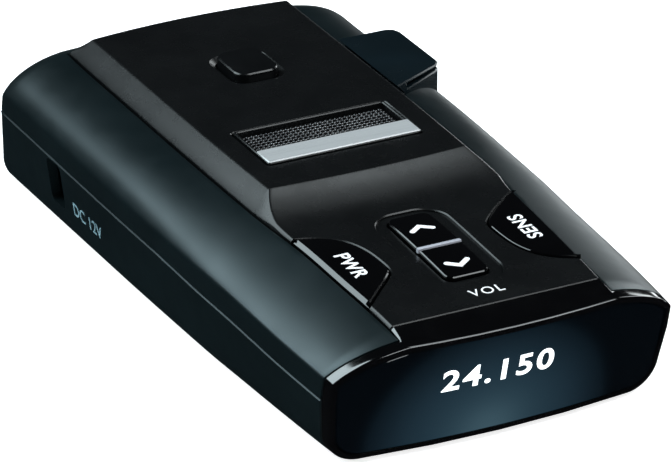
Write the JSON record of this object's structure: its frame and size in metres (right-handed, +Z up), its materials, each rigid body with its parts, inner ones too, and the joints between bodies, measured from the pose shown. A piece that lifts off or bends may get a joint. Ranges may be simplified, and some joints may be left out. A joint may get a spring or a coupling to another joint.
{
  "type": "radar detector",
  "caption": "Windscreen radar and laser detector with a tinted display window, volume rocker, side keys, speaker grille and a slotted bracket shoe beside its raised centre.",
  "frame": {"origin": "middle of the flat underside, on the surface that the detector stands on", "axes": "+Z up out of the raised centre, -Y out of the display window towards the driver, +Y out of the end that looks at the road, +X towards the bracket shoe"},
  "size_m": [0.0708, 0.1403, 0.0307],
  "materials": {
    "shell": "satin dark slate paint",
    "cover": "satin black",
    "gloss_black": "polished black",
    "window": "dark tinted clear plastic, polished",
    "infrared_window": "dark infrared-passing plastic, polished",
    "silver": "brushed, clear coated",
    "chrome": "bright plated",
    "mesh": "dark perforated sheet",
    "board": "green solder resist on glass fibre",
    "brass": "plated pin",
    "tin": "tinned sheet",
    "screw": "black passivated steel",
    "black_plastic": "moulded black"
  },
  "bodies": {
    "case": {"lower_shell": "shell", "upper_shell": "shell", "centre_cover": "cover", "front_bezel": "gloss_black", "display_window": "window", "display_panel": "gloss_black", "display_board": "board", "grille_frame": "cover", "speaker_mesh": "mesh", "trim_plate": "silver", "speaker": "black_plastic", "mute_switch": "black_plastic", "power_switch": "black_plastic", "sensitivity_switch": "black_plastic", "volume_up_switch": "black_plastic", "volume_down_switch": "black_plastic", "dc_jack": "black_plastic", "jack_pin": "brass", "laser_window": "infrared_window", "laser_sensor": "black_plastic", "horn_antenna": "tin", "receiver_can": "tin", "main_board": "board", "key_board": "board", "top_board": "board", "case_screw_1": "screw", "case_screw_2": "screw", "case_screw_3": "screw", "case_screw_4": "screw"},
    "mute_key": {"mute_button": "gloss_black"},
    "power_key": {"power_button": "gloss_black"},
    "sensitivity_key": {"sensitivity_button": "gloss_black"},
    "volume_key": {"volume_rocker": "gloss_black", "rocker_bar": "chrome"}
  },
  "joints": [
    {"name": "mute_press", "type": "slide", "parent": "case", "child": "mute_key", "axis": [0, 0, -1], "range_m": [0, 0.0007], "stiffness_N_per_m": 900, "springref_m": -0.001},
    {"name": "power_press", "type": "slide", "parent": "case", "child": "power_key", "axis": [0, 0, -1], "range_m": [0, 0.0004], "stiffness_N_per_m": 900, "springref_m": -0.001},
    {"name": "sensitivity_press", "type": "slide", "parent": "case", "child": "sensitivity_key", "axis": [0, 0, -1], "range_m": [0, 0.0004], "stiffness_N_per_m": 900, "springref_m": -0.001},
    {"name": "volume_rock", "type": "hinge", "parent": "case", "child": "volume_key", "pos_m": [0, -0.0394, 0.0226], "axis": [1, 0, 0], "range_deg": [-2.5, 2.5], "stiffness_Nm_per_rad": 0.35}
  ]
}
